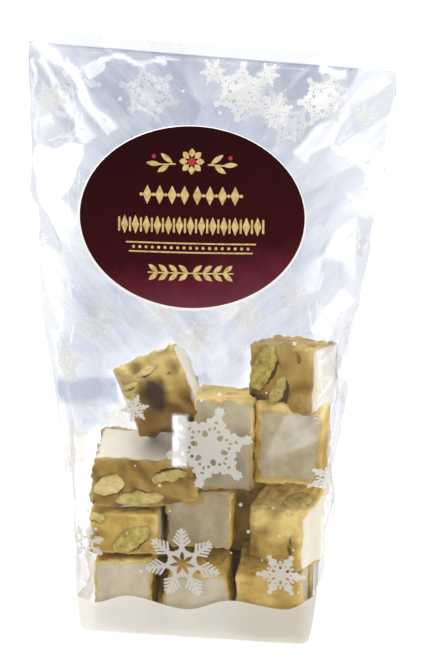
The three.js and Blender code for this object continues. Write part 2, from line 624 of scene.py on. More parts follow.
def place_axes(tree, space="Object"):
    """The X, Y and Z of each place, as sockets."""
    place = tree.nodes.new("ShaderNodeTexCoord")
    split = tree.nodes.new("ShaderNodeSeparateXYZ")
    tree.links.new(place.outputs[space], split.inputs[0])
    return split.outputs


def streak_noise(tree):
    """Noise drawn out along the creases, which run down from the upper corners to the middle."""
    axes = place_axes(tree)
    mirrored = tree.nodes.new("ShaderNodeCombineXYZ")
    tree.links.new(math_node(tree, "ABSOLUTE", axes["X"]), mirrored.inputs["X"])
    tree.links.new(axes["Y"], mirrored.inputs["Y"])
    tree.links.new(axes["Z"], mirrored.inputs["Z"])
    mapping = add_node(tree, "ShaderNodeMapping", vector_type="TEXTURE")
    set_inputs(mapping, {"Rotation": (0, math.radians(-45), 0), "Scale": (0.03, 0.02, 0.0045)})
    tree.links.new(mirrored.outputs[0], mapping.inputs["Vector"])
    texture = add_node(tree, "ShaderNodeTexNoise", Scale=1.0, Detail=4.0, Roughness=0.6)
    tree.links.new(mapping.outputs["Vector"], texture.inputs["Vector"])
    return math_node(tree, "MULTIPLY_ADD", texture.outputs["Fac"], 2.6, -0.8, clamp=True)


def film_material(name, clear_tint, veiled_tint, gloss, roughness, painted_glow):
    """Clear film, see-through, with reflections that grow at the edges. The mesh's veil says how
    tinted it is, partly with painted shade, and its sheen how much painted white reflection its
    facets throw back, from a white shader that also glows."""
    material, tree, principled = new_material(name)
    # The white shader glows: painted light for the white that the film throws back
    set_inputs(principled, {
        "Base Color": (0.95, 0.96, 1.0, 1),
        "Roughness": 0.35,
        "Emission Color": (0.96, 0.97, 1, 1),
        "Emission Strength": painted_glow,
    })
    veil = add_node(tree, "ShaderNodeAttribute", attribute_name="veil").outputs["Fac"]
    sheen = add_node(tree, "ShaderNodeAttribute", attribute_name="sheen").outputs["Fac"]
    streaks = streak_noise(tree)
    patchy = noise_node(tree, 30, 4, 0.6).outputs["Fac"]
    clear = tree.nodes.new("ShaderNodeBsdfTransparent")
    centred = math_node(tree, "SUBTRACT", streaks, 0.5)
    contrast = math_node(tree, "MULTIPLY", veil, 0.8)
    streaked = math_node(tree, "MULTIPLY_ADD", centred, contrast, 0.65)
    uneven = math_node(tree, "MULTIPLY_ADD", patchy, 0.7, streaked)
    tint = math_node(tree, "MULTIPLY", veil, uneven, clamp=True)
    tree.links.new(mix_colour(tree, tint, clear_tint, veiled_tint), clear.inputs["Color"])
    shine = add_node(tree, "ShaderNodeBsdfGlossy", Roughness=roughness)
    crinkle = noise_node(tree, 55, 3, 0.55)
    fine = noise_node(tree, 320, 2, 0.5)
    height = math_node(tree, "MULTIPLY_ADD", fine.outputs["Fac"], 0.12, crinkle.outputs["Fac"])
    normal = bump_node(tree, height, 0.35, 0.0012)
    tree.links.new(normal, shine.inputs["Normal"])
    broken = math_node(tree, "MULTIPLY_ADD", streaks, 1.0, 0.3)
    whiteness = math_node(tree, "MULTIPLY", sheen, broken, clamp=True)
    painted_sheen_shader = mix_shaders(tree, whiteness, clear, principled)
    edge = add_node(tree, "ShaderNodeLayerWeight", Blend=0.5)
    tree.links.new(normal, edge.inputs["Normal"])
    grazing = math_node(tree, "POWER", edge.outputs["Facing"], 5.0)
    base = math_node(tree, "MULTIPLY_ADD", veil, gloss * 0.7, gloss * 0.3)
    strength = math_node(tree, "MULTIPLY_ADD", grazing, 0.9, base, clamp=True)
    mixed = mix_shaders(tree, strength, painted_sheen_shader, shine)
    tree.links.new(mixed.outputs[0], tree.nodes["Material Output"].inputs["Surface"])
    return material


def ink_material(name, colour, wear=0.08, roughness=0.45, glow_through=0.0):
    """Ink with faint uneven cover, which may let some light through."""
    material, tree, principled = new_material(name)
    cloud = noise_node(tree, 260, 4, 0.6)
    darker = tuple(value * (1 - wear * 2) for value in colour[:3]) + (1.0,)
    shade = ramp_node(tree, cloud.outputs["Fac"], [(0.3, darker), (0.7, colour)])
    tree.links.new(shade, principled.inputs["Base Color"])
    principled.inputs["Roughness"].default_value = roughness
    grain = noise_node(tree, 900, 2, 0.5)
    tree.links.new(bump_node(tree, grain.outputs["Fac"], 0.15, 0.0003), principled.inputs["Normal"])
    if glow_through:
        through = add_node(tree, "ShaderNodeBsdfTranslucent", Color=colour)
        mixed = mix_shaders(tree, glow_through, principled, through)
        tree.links.new(mixed.outputs[0], tree.nodes["Material Output"].inputs["Surface"])
    return material


def snow_material():
    """The snow's ink: opaque white, a little greyer towards the right, with broad upright patches of painted
    fold shade.
    """
    material = ink_material("snow_ink", srgb(252, 251, 245), wear=0.03, glow_through=0.4)
    tree = material.node_tree
    across = math_node(tree, "MULTIPLY_ADD", place_axes(tree)["X"], 9.0, 0.5, clamp=True)
    shade = mix_colour(tree, across, srgb(255, 254, 248), srgb(224, 219, 207))
    # Broad upright patches of painted shade, for the folds of the film under the snow
    broad = noise_node(tree, 45, 3, 0.5, stretch=(1, 1, 0.4))
    faint = math_node(tree, "MULTIPLY_ADD", broad.outputs["Fac"], 1.6, -0.55, clamp=True)
    cover = math_node(tree, "MULTIPLY", faint, 0.18)
    shade = mix_colour(tree, cover, shade, srgb(204, 202, 198))
    tree.links.new(shade, tree.nodes["Principled BSDF"].inputs["Base Color"])
    return material


def label_material():
    """Varnished maroon paper, darker at the top, with a painted sheen lightening it towards the lower right.
    """
    material, tree, principled = new_material("label_maroon")
    axes = place_axes(tree)
    slanted = math_node(tree, "MULTIPLY_ADD", axes["X"], -0.22, axes["Z"])
    span = tree.nodes.new("ShaderNodeMapRange")
    set_inputs(span, {
        "From Min": (LABEL_UP - LABEL_HEIGHT / 2) * MM,
        "From Max": (LABEL_UP + LABEL_HEIGHT / 2) * MM,
    })
    tree.links.new(slanted, span.inputs["Value"])
    cloud = noise_node(tree, 90, 5, 0.6)
    centred = math_node(tree, "SUBTRACT", cloud.outputs["Fac"], 0.5)
    uneven = math_node(tree, "MULTIPLY", centred, 0.25)
    place_up = math_node(tree, "ADD", span.outputs[0], uneven)
    # The light stops at the foot of the slant are a painted sheen on the lower right
    shade = ramp_node(tree, place_up, [
        (0.0, srgb(98, 46, 58)), (0.16, srgb(82, 26, 36)), (0.32, srgb(52, 9, 14)), (0.7, srgb(42, 8, 12)),
        (1.0, srgb(36, 7, 11)),
    ])
    tree.links.new(shade, principled.inputs["Base Color"])
    set_inputs(principled, {"Roughness": 0.4, "Specular IOR Level": 0.05})
    grain = noise_node(tree, 420, 3, 0.5)
    tree.links.new(bump_node(tree, grain.outputs["Fac"], 0.12, 0.0004), principled.inputs["Normal"])
    return material


def gold_material():
    """Pale gold ink with slight variation."""
    material, tree, principled = new_material("label_gold")
    cloud = noise_node(tree, 500, 3, 0.6)
    shade = ramp_node(tree, cloud.outputs["Fac"], [
        (0.3, srgb(176, 142, 78)), (0.7, srgb(222, 198, 136)),
    ])
    tree.links.new(shade, principled.inputs["Base Color"])
    set_inputs(principled, {"Metallic": 0.35, "Roughness": 0.42})
    return material


def nougat_material():
    """Golden cut nougat with nuts, their dark skins and whitish wafer, with painted light and painted shade,
    from the mesh's attributes.
    """
    material, tree, principled = new_material("nougat")

    def attribute(name):
        return add_node(tree, "ShaderNodeAttribute", attribute_name=name).outputs["Fac"]

    nut = attribute("nut")
    nut_tone = attribute("nut_tone")
    skin = attribute("skin")
    wafer = attribute("wafer")
    stain = attribute("stain")
    shade = attribute("shade")
    painted_light = attribute("painted_light")
    wafer_white_and_painted_light = attribute("wafer_white_and_painted_light")

    broad = noise_node(tree, 110, 4, 0.62)
    fine = noise_node(tree, 700, 4, 0.65)
    golden = ramp_node(tree, broad.outputs["Fac"], [
        (0.3, srgb(168, 132, 56)), (0.48, srgb(200, 166, 82)), (0.68, srgb(222, 194, 118)),
    ])
    mottling = math_node(tree, "MULTIPLY", fine.outputs["Fac"], 0.45)
    mottled = mix_colour(tree, mottling, golden, srgb(186, 150, 72))
    # Painted light: edge highlights and lit tops, mixed towards pale gold
    mottled = mix_colour(tree, painted_light, mottled, srgb(246, 220, 144))
    # Painted shade: darker in hollows, low down and on pieces that sit in shadow, besides random darker
    # patches
    mottled = mix_colour(tree, shade, mottled, srgb(122, 90, 28))

    flesh_noise = noise_node(tree, 300, 5, 0.65)
    olive = ramp_node(tree, flesh_noise.outputs["Fac"], [
        (0.32, srgb(132, 116, 46)), (0.48, srgb(172, 154, 72)), (0.66, srgb(202, 186, 104)),
    ])
    cream = ramp_node(tree, flesh_noise.outputs["Fac"], [
        (0.3, srgb(206, 180, 106)), (0.7, srgb(238, 220, 158)),
    ])
    flesh = mix_colour(tree, nut_tone, olive, cream)

    centred = math_node(tree, "SUBTRACT", flesh_noise.outputs["Fac"], 0.5)
    wobble = math_node(tree, "MULTIPLY", centred, 1.4)
    edge = math_node(tree, "ADD", nut, wobble)
    inside_nut = math_node(tree, "MULTIPLY_ADD", edge, -2.5, 0.0, clamp=True)
    past_inner = math_node(tree, "MULTIPLY_ADD", edge, 4.0, 1.0, clamp=True)
    skin_left = math_node(tree, "SUBTRACT", skin, edge)
    before_outer = math_node(tree, "MULTIPLY", skin_left, 2.2, clamp=True)
    on_skin = math_node(tree, "MULTIPLY", past_inner, before_outer)

    cut_face = mix_colour(tree, inside_nut, mottled, flesh)
    cut_face = mix_colour(tree, on_skin, cut_face, srgb(84, 58, 34))
    specks = noise_node(tree, 340, 2, 0.5)
    dark_speck = math_node(tree, "MULTIPLY_ADD", specks.outputs["Fac"], 12.0, -8.3, clamp=True)
    cut_face = mix_colour(tree, dark_speck, cut_face, srgb(112, 80, 40))
    cut_face = mix_colour(tree, stain, cut_face, srgb(62, 42, 28))

    paper_noise = noise_node(tree, 120, 5, 0.6)
    paper = ramp_node(tree, paper_noise.outputs["Fac"], [
        (0.3, srgb(166, 150, 116)), (0.5, srgb(182, 167, 134)), (0.7, srgb(198, 185, 153)),
    ])
    # The wafer's whiteness is partly its own tone and partly painted light on lit faces; painted shade
    # darkens it less the whiter it is
    paper = mix_colour(tree, wafer_white_and_painted_light, paper, srgb(233, 227, 209))
    plain = math_node(tree, "MULTIPLY_ADD", wafer_white_and_painted_light, -0.65, 0.7)
    shading = math_node(tree, "MULTIPLY", shade, plain)
    paper = mix_colour(tree, shading, paper, srgb(118, 98, 66))
    staining = math_node(tree, "MULTIPLY", stain, 0.85)
    paper = mix_colour(tree, staining, paper, srgb(172, 132, 50))
    colour = mix_colour(tree, wafer, cut_face, paper)
    tree.links.new(colour, principled.inputs["Base Color"])
    set_inputs(principled, {
        "Roughness": 0.58,
        "Specular IOR Level": 0.25,
        "Subsurface Weight": 0.1,
        "Subsurface Radius": (0.004, 0.0025, 0.0012),
    })

    pits = add_node(tree, "ShaderNodeTexVoronoi", Scale=420.0)
    place = add_node(tree, "ShaderNodeTexCoord")
    tree.links.new(place.outputs["Object"], pits.inputs["Vector"])
    pitted = math_node(tree, "MULTIPLY", pits.outputs["Distance"], 0.8)
    rough = math_node(tree, "ADD", fine.outputs["Fac"], pitted)
    calm = math_node(tree, "MULTIPLY_ADD", wafer, -0.8, 1.0)
    height = math_node(tree, "MULTIPLY", rough, calm)
    tree.links.new(bump_node(tree, height, 0.6, 0.001), principled.inputs["Normal"])
    return material


MATERIALS = {
    # The glow of each film lights its painted white sheen: painted light, strongest on the seam
    "film": film_material("film_clear", (0.975, 0.975, 0.98, 1), (0.635, 0.662, 0.735, 1),
                          gloss=0.045, roughness=0.09, painted_glow=0.22),
    "seal": film_material("film_seal", (0.97, 0.97, 0.98, 1), (0.93, 0.94, 0.96, 1),
                          gloss=0.05, roughness=0.16, painted_glow=0.3),
    "seam": film_material("film_seam", (0.97, 0.97, 0.98, 1), (0.97, 0.97, 0.98, 1),
                          gloss=0.03, roughness=0.16, painted_glow=1.0),
    "snow": snow_material(),
    # Front and back flakes are one ink: the back's copy is painted lighter and warmer, and lets more light
    # through, to read lit through the film
    "flake": ink_material("flake_ink", srgb(234, 232, 227), wear=0.03, glow_through=0.5),
    "flake_back_painted_lighter": ink_material("flake_ink_back_painted_lighter", srgb(246, 241, 228), wear=0.02, glow_through=0.85),
    "paper": ink_material("label_paper", srgb(240, 238, 232), wear=0.03, roughness=0.6),
    "maroon": label_material(),
    "gold": gold_material(),
    "red": ink_material("label_red", srgb(168, 34, 36), wear=0.1, roughness=0.4),
    "nougat": nougat_material(),
}


# Film

# White sheens painted where the film throws back the light: corners as millimetres round and
# up, and strength, above 1 where it is solid white
SHEENS = [
    (((-77.5, 212), (-50.5, 218), (-53, 204), (-70, 186)), 2.0),
    (((-63.5, 251), (-56, 248), (-35.5, 226), (-39.5, 222)), 0.6),
    (((-74, 249), (-71, 250), (-46, 221), (-49.5, 219)), 0.6),
    (((-62, 236), (-58, 237), (-43.5, 223), (-47, 221)), 0.5),
    (((-78, 256), (-66, 255), (-60, 249), (-72, 250)), 0.7),
    (((-77, 250), (-75.6, 250), (-74, 216), (-75.4, 216)), 0.6),
    (((73.5, 255), (77, 252), (58.5, 238), (55, 241)), 0.5),
    (((58, 241), (61.5, 238), (44, 216), (39, 223)), 0.6),
    (((52, 227), (57.5, 225), (79, 210), (76.5, 207)), 1.0),
    (((62, 205), (74, 199), (76, 192), (66, 199)), 0.5),
    (((51, 146), (57.5, 142), (71, 156), (67, 161)), 0.6),
    (((-46.5, 254), (-18.5, 253), (-18.5, 251.8), (-47.5, 252.4)), 0.7),
    (((45.5, 255.5), (56.5, 256), (57, 253.5), (46, 253.5)), 0.9),
    (((-7.2, 106), (-4.8, 105.6), (-4.8, 83), (-7.4, 82.6)), 1.2),
    (((-7.2, 106), (-1.2, 106), (-1.2, 83), (-7.4, 82.6)), 0.75),
    (((31, 85), (41, 109), (53.5, 111), (53, 98)), 0.16),
    (((52, 139), (68.5, 138), (63.5, 113), (51, 113.5)), 0.36),
    (((55, 65), (61, 66), (63, 34), (56, 34)), 0.24),
    (((-53, 110), (-51.4, 110), (-49.4, 60), (-51, 60)), 0.5),
    (((-72, 132), (-57, 140), (-55, 118), (-66, 112)), 0.4),
]


# Painted shade bands in the film, and one painted lighter patch: corners as millimetres round and up, and
# how much more tinted each makes it, negative where lighter
PAINTED_SHADE_BANDS = [
    (((-66, 114), (-33, 119.5), (-32, 110), (-66, 103.5)), 1.3),
    (((-82, 107), (-117, 98), (-118, 88.5), (-82, 95)), 0.9),
    (((-78, 114), (-50, 112), (-51, 60), (-78, 60)), 0.22),
    (((-60, 160), (-26, 162), (-24, 134), (-60, 126)), 0.3),
    (((-14, 166), (28, 166), (28, 132), (-14, 132)), -0.14),
    (((60, 134), (82, 134), (80, 60), (62, 60)), 0.12),
]


def painted_shade_at(wrapped, up_mm):
    """How much painted shade the bands add to the film's tint at each place."""
    return sum(
        strength * ramp(2.5, -3.5, outside_of(corners, wrapped, up_mm)) for corners, strength in PAINTED_SHADE_BANDS
    )


def sheen_at(wrapped, up_mm):
    """The strongest of the painted white sheens at each place."""
    return np.maximum.reduce([
        strength * ramp(0.9, -0.9, outside_of(corners, wrapped, up_mm)) for corners, strength in SHEENS
    ])


def add_looks(piece, rounds, ups, least_sheen=0.0):
    """Stores how tinted the film is, its own tint with painted shade from the facets and bands, and how much
    painted sheen its facets throw back.
    """
    wrapped = wrap(rounds)
    _, sheen, tint = facets(wrapped, ups)
    loose = looseness(wrapped, ups)
    towards_side = ramp(40, 72, np.minimum(np.abs(wrapped), GIRTH / 2 - np.abs(wrapped)))
    packed_side = ramp(100, 76, ups)
    strongest = 0.68 + 0.32 * ramp(200, 235, ups)
    veil = loose * strongest * (1 - 0.45 * towards_side) * (1 - 0.75 * packed_side) * (0.5 + 0.6 * tint)
    painted_shade = painted_shade_at(wrapped, ups)
    veil = veil + painted_shade
    bent_rounds = wrapped + loose * (0.8 * np.sin(ups / 2.3) + 0.6 * np.sin(ups / 5.1))
    bent_ups = ups + loose * np.sin(wrapped / 2.7)
    painted_light = np.maximum(sheen * loose * (0.15 + 1.05 * towards_side), sheen_at(bent_rounds, bent_ups))
    painted_light = painted_light * (1 - 0.9 * np.clip(painted_shade, 0, 1))
    store_values(piece, {"veil": veil, "sheen": np.maximum(painted_light, least_sheen)})


FILM_COLUMNS = 360
FILM_ROWS = 250
FILM_TOP = BAG_HEIGHT - SEAL_HEIGHT + 0.5

# Rings of the flat base, as shares of its size
BASE_RINGS = (0.0625, 0.4375, 0.75)


def make_film():
    """The whole film, from its base to just under the seal, with a rounded lower edge."""
    angles = np.linspace(0, math.pi / 2, 5)[:-1]
    ups = np.linspace(BASE_EDGE_RADIUS, FILM_TOP, FILM_ROWS)
    rounds = np.linspace(-GIRTH / 2, GIRTH / 2, FILM_COLUMNS, endpoint=False)
    rows = [(BASE_EDGE_RADIUS, -BASE_EDGE_RADIUS, BASE_EDGE_RADIUS, share) for share in BASE_RINGS]
    for angle in angles:
        lift = -BASE_EDGE_RADIUS * (1 - math.sin(angle))
        rows.append((BASE_EDGE_RADIUS, lift, BASE_EDGE_RADIUS * math.cos(angle), 1.0))
    rows += [(up, 0.0, 0.0, 1.0) for up in ups]
    points = []
    for up, lift, drop, share in rows:
        row = film_points(rounds, np.full_like(rounds, up), lift)
        row[:, :2] *= share
        row[:, 2] -= drop
        points.append(row)
    points = np.concatenate(points)
    faces = sheet_faces(len(rows), FILM_COLUMNS, closed=True)
    faces.append(tuple(reversed(range(FILM_COLUMNS))))
    film = make_piece("film", points, faces, MATERIALS["film"])
    add_looks(film, np.tile(rounds, len(rows)), np.repeat([row[0] for row in rows], FILM_COLUMNS))
    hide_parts("bag")
    return film


# Seal: its teeth, the waves of its crimp and its film
TOOTH_HEIGHT = 0.9
TOOTH_WIDTH = 3.4
CRIMP_HEIGHT = 0.12
CRIMP_PITCH = 1.3
SEAL_FILM = 0.3


def make_seal():
    """The flat crimped strip at the top, with a saw-tooth upper edge."""
    columns = 420
    half = HALF_FRONT + HALF_GUSSET - 0.2
    across = np.linspace(-half, half, columns)
    below_teeth = np.linspace(BAG_HEIGHT - SEAL_HEIGHT - 0.5, BAG_HEIGHT - TOOTH_HEIGHT, 16)
    ups = np.concatenate([below_teeth, [BAG_HEIGHT]])
    points = []
    for up in ups:
        teeth = 0.0
        if up == BAG_HEIGHT:
            teeth = TOOTH_HEIGHT * (np.abs((across * 2 / TOOTH_WIDTH) % 2 - 1) - 0.5)
        wave = CRIMP_HEIGHT * math.sin(up * 2 * math.pi / CRIMP_PITCH)
        level = np.full_like(across, up)
        middle = (film_points(across, level) + film_points(GIRTH / 2 - across, level)) / 2
        middle[:, 1] += wave + 0.25 * np.sin(across / 9.0)
        middle[:, 2] += teeth
        points.append(middle)
    seal = make_piece("top_seal", np.concatenate(points), sheet_faces(len(ups), columns), MATERIALS["seal"])
    add_looks(seal, np.tile(across, len(ups)), np.repeat(ups, columns))
    thicken(seal, SEAL_FILM, offset=0.0)
    return seal


SEAM_ROUND = GIRTH / 2 + 3.0
SEAM_WIDTH = 5.0


def make_back_seam():
    """The lap seam up the middle of the back."""
    rounds = np.linspace(SEAM_ROUND - SEAM_WIDTH / 2, SEAM_ROUND + SEAM_WIDTH / 2, 9)
    ups = np.linspace(3.0, FILM_TOP, 160)
    grid_up, grid_round = np.meshgrid(ups, rounds, indexing="ij")
    points = film_points(grid_round.ravel(), grid_up.ravel(), 0.25)
    seam = make_piece("back_seam", points, sheet_faces(len(ups), len(rounds)), MATERIALS["seam"])
    # The seam always shows some painted white sheen, lit by its strong glow: painted light for the lap's
    # extra reflection
    add_looks(seam, grid_round.ravel(), grid_up.ravel(), least_sheen=0.22)
    return seam


# Print on the film

# Crests and troughs of the printed snow, as millimetres round and millimetres up
SNOW_LINE = [
    (-158, 15), (-134, 19), (-106, 12), (-80, 9.5), (-66, 13), (-51, 16.4), (-44.2, 14.9), (-28.6, 19.4),
    (-2.7, 14.7), (17.2, 20.3), (40.2, 17.5), (54, 22.3), (80, 15), (104, 20), (130, 19), (158, 15),
]


def snow_height(round_mm):
    """Height of the snow line, in smooth waves through its crests and troughs."""
    line = np.array(SNOW_LINE, float)
    index = np.clip(np.searchsorted(line[:, 0], round_mm, side="right") - 1, 0, len(line) - 2)
    low, high = line[index], line[index + 1]
    t = (round_mm - low[:, 0]) / (high[:, 0] - low[:, 0])
    return low[:, 1] + (high[:, 1] - low[:, 1]) * (1 - np.cos(np.pi * np.clip(t, 0, 1))) / 2


def make_snow():
    """The solid printed snow round the foot of the bag."""
    rows, columns = 16, 316
    foot = BASE_EDGE_RADIUS * 0.6
    rounds = np.linspace(-GIRTH / 2, GIRTH / 2, columns, endpoint=False)
    tops = snow_height(rounds)
    points = [film_points(rounds, foot + (tops - foot) * t, INK_LIFT) for t in np.linspace(0, 1, rows)]
    faces = sheet_faces(rows, columns, closed=True)
    return make_piece("snow_band", np.concatenate(points), faces, MATERIALS["snow"])


# Flakes: kind, place round and up, size from middle to tip, turn in degrees
FLAKES = [
    ("lace", (8.5, 92.0), 19.0, 75),
    ("fern", (-4.0, 37.0), 17.0, 90),
    ("knob", (39.0, 34.0), 10.8, 0),
    ("knob", (-24.0, 107.5), 6.5, 15),
    ("knob", (57.0, 80.0), 8.0, 20),
    ("fern", (-47.0, 43.0), 9.0, 20),
    ("lace", (14.5, 244.0), 12.0, 30),
    ("lace", (49.0, 243.5), 10.5, 10),
    ("knob", (30.0, 238.0), 7.5, 15),
    ("knob", (25.5, 251.5), 5.0, 0),
    ("knob", (2.0, 251.0), 5.5, 10),
    ("lace", (-68.0, 234.0), 8.0, 0),
    ("lace", (-56.0, 124.0), 10.0, 20),
    ("fern", (90.0, 178.0), 9.0, 12),
    ("fern", (94.0, 112.0), 14.0, 10),
    ("knob", (92.0, 60.0), 9.0, 0),
    ("lace", (-88.0, 72.0), 14.0, 40),
    ("knob", (-88.0, 148.0), 9.0, 10),
    ("lace", (-131.0, 236.0), 14.0, 15),
    ("knob", (-99.0, 240.0), 11.0, 10),
    ("knob", (107.5, 246.0), 8.0, 0),
    ("lace", (124.0, 226.0), 11.0, 5),
    ("knob", (91.0, 236.0), 6.0, 20),
    ("lace", (138.0, 238.0), 13.0, 0),
    ("lace", (-152.0, 123.0), 11.0, 25),
    ("knob", (-109.0, 128.0), 11.5, 0),
    ("knob", (120.5, 145.0), 7.0, 10),
    ("knob", (141.0, 134.0), 10.0, 0),
    ("knob", (-138.0, 131.0), 6.5, 10),
    ("lace", (136.0, 184.0), 16.0, 20),
    ("fern", (-122.0, 180.0), 17.0, 5),
    ("lace", (-128.0, 82.0), 17.0, 0),
    ("fern", (126.0, 86.0), 17.0, 35),
    ("lace", (152.0, 42.0), 15.0, 25),
    ("knob", (-118.0, 44.0), 11.0, 10),
]
FLAKE_KINDS = {"lace": lace_flake, "fern": fern_flake, "knob": knob_flake}


def on_back(place):
    return abs(place[0]) > GIRTH / 4


def make_flakes(name, material, back):
    """The printed snowflakes of the back, or of the front and sides, as one piece of ink."""
    sheet = Print()
    for kind, place, size, turn in FLAKES:
        if on_back(place) == back:
            cell = 0.26 if size > 10 else 0.2
            sheet.add_field(FLAKE_KINDS[kind](size), size * 1.06, cell, place, turn)
    return sheet.lay(name, MATERIALS[material], INK_LIFT)


def dot_places(count, seed):
    """Places and sizes of scattered dots, kept apart from each other, the flakes and the label."""
    draw = random.Random(seed)
    spots = []
    while len(spots) < count:
        place = (draw.uniform(-GIRTH / 2, GIRTH / 2), draw.uniform(24, BAG_HEIGHT - 14))
        radius = draw.choice((0.45, 0.6, 0.8))
        on_label = math.hypot((place[0] - LABEL_ACROSS) / 50, (place[1] - LABEL_UP) / 40) < 1.04
        near = any(math.hypot(place[0] - s[0], place[1] - s[1]) < 7 for s, _ in spots)
        on_flake = any(math.hypot(place[0] - f[1][0], place[1] - f[1][1]) < f[2] * 0.9 for f in FLAKES)
        if not (on_label or near or on_flake):
            spots.append((place, radius))
    return spots


DOTS = dot_places(170, seed=11)
DOT_SIDES = 12


def make_dots(name, material, back):
    """The printed dots of the back, or of the front and sides, as one piece of ink."""
    sheet = Print()
    for place, radius in DOTS:
        if on_back(place) == back:
            turns = np.linspace(0, 2 * math.pi, DOT_SIDES, endpoint=False)
            rim = np.stack([place[0] + radius * np.cos(turns), place[1] + radius * np.sin(turns)], axis=-1)
            sheet.add(rim, [tuple(range(DOT_SIDES))])
    return sheet.lay(name, MATERIALS[material], INK_LIFT)


# Label

def label_to_film(flat):
    """Turns places on the label, from its middle, into places on the film."""
    c, s = math.cos(LABEL_TILT), math.sin(LABEL_TILT)
    return np.stack([LABEL_ACROSS + flat[:, 0] * c - flat[:, 1] * s,
                     LABEL_UP + flat[:, 0] * s + flat[:, 1] * c], axis=-1)


def oval_rings(half_width, half_height, rings=26, steps=160):
    """An oval sheet of rings round a middle point."""
    turns = np.linspace(0, 2 * math.pi, steps, endpoint=False)
    points = [(0.0, 0.0)]
    faces = []
    for ring in range(1, rings + 1):
        t = ring / rings
        points += list(zip(half_width * t * np.cos(turns), half_height * t * np.sin(turns)))
    for step in range(steps):
        after = (step + 1) % steps
        faces.append((0, 1 + step, 1 + after))
        for ring in range(rings - 1):
            base = 1 + ring * steps
            faces.append((base + step, base + steps + step, base + steps + after, base + after))
    return np.array(points), faces


def make_label():
    """The paper with its whitish rim and the maroon face."""
    layers = []
    for name, material, rim, drop, lift in (
        ("label_paper", "paper", LABEL_RIM, LABEL_MISPRINT, PAPER_LIFT),
        ("label_face", "maroon", 0.0, 0.0, PAPER_LIFT + PAPER_THICKNESS + LABEL_INK_STEP),
    ):
        sheet = Print()
        points, faces = oval_rings(LABEL_WIDTH / 2 + rim, LABEL_HEIGHT / 2 + rim)
        sheet.add(points - (drop / 3, drop), faces)
        layers.append(sheet.lay(name, MATERIALS[material], lift, label_to_film))
    thicken(layers[0], PAPER_THICKNESS, offset=1.0)
    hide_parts("label")
    return layers


ROSETTE_UP = 23.5


def ornament(x, y):
    """Gold ornament: a rosette between leaves, friezes of lozenges and bars, and a row of beads."""
    parts = []
    mirrored = np.abs(x)
    for step in range(8):
        angle = math.pi / 4 * step
        root = (1.7 * math.cos(angle), ROSETTE_UP + 1.7 * math.sin(angle))
        tip = (5.4 * math.cos(angle), ROSETTE_UP + 5.4 * math.sin(angle))
        parts.append(leaf(x, y, root, tip, 1.25))
    for root, tip in (((8.0, 22.6), (13.4, 26.6)), ((9.6, 21.8), (14.6, 18.8)), ((13, 22.0), (19.5, 22.6))):
        parts.append(leaf(mirrored, y, root, tip, 1.05))
    parts.append(bar(mirrored, y, (7.0, 22.3), (14.0, 22.0), 0.28))
    for step in range(4):
        parts.append(lozenge(mirrored, y, (2.7 + 5.3 * step, 9.6), 1.9, 4.0))
        parts.append(disc(mirrored, y, (5.35 + 5.3 * step, 9.6), 0.7))
    for step in range(7):
        place = (4.7 * step, -3.0)
        parts.append(lozenge(mirrored, y, place, 1.6, 4.0))
        parts.append(bar(mirrored, y, (place[0] + 2.35, -5.6), (place[0] + 2.35, -0.4), 0.45))
    for level in (-10.4, -14.2):
        parts.append(bar(mirrored, y, (0, level), (31 + level * 0.35, level), 0.32))
    for step in range(10):
        parts.append(disc(mirrored, y, (2.7 * step, -12.3), 0.65))
    for step in range(4):
        parts.append(leaf(mirrored, y, (1.0 + 4.3 * step, -22.7), (5.0 + 4.3 * step, -19.4), 1.0))
        parts.append(leaf(mirrored, y, (1.0 + 4.3 * step, -23.1), (5.0 + 4.3 * step, -26.2), 1.0))
    parts.append(bar(mirrored, y, (0, -22.9), (18, -22.9), 0.28))
    return join(*parts)


def make_ornament():
    lift = PAPER_LIFT + PAPER_THICKNESS + 2 * LABEL_INK_STEP
    gold = Print()
    gold.add_field(ornament, LABEL_WIDTH / 2, 0.3)
    piece = gold.lay("label_ornament", MATERIALS["gold"], lift, label_to_film)
    red = Print()
    red.add_field(lambda x, y: join(
        disc(x, y, (0, ROSETTE_UP), 1.6), disc(np.abs(x), y, (16.2, 25.2), 0.9),
    ), 30, 0.25)
    heart = red.lay("label_accent", MATERIALS["red"], lift + LABEL_INK_STEP, label_to_film)
    return piece


# Nougat

def unit_block(cuts):
    """Points and faces of a cube from -1 to 1, each side cut into a fine grid."""
    grid = bmesh.new()
    bmesh.ops.create_cube(grid, size=2)
    bmesh.ops.subdivide_edges(grid, edges=grid.edges[:], cuts=cuts, use_grid_fill=True)
    grid.verts.ensure_lookup_table()
    points = np.array([v.co[:] for v in grid.verts])
    faces = [tuple(v.index for v in f.verts) for f in grid.faces]
    grid.free()
    return points, faces


def wavy(points, size, seed):
    """Smooth seeded waves, about -1 to 1, with features of the given size."""
    draw = np.random.default_rng(seed)
    total = np.zeros(len(points))
    for _ in range(7):
        direction = draw.normal(size=3)
        direction /= np.linalg.norm(direction)
        phase = draw.uniform(0, 2 * math.pi)
        total += np.sin(points @ direction * (2 * math.pi / size) * draw.uniform(0.7, 1.4) + phase)
    return total / 3.2


def turn_matrix(yaw, pitch, roll):
    """Rotation from yaw about Z, pitch about X and roll about Y, in degrees."""
    turn = Matrix.Rotation(math.radians(yaw), 3, "Z") @ Matrix.Rotation(math.radians(pitch), 3, "X")
    return np.array(turn @ Matrix.Rotation(math.radians(roll), 3, "Y"))


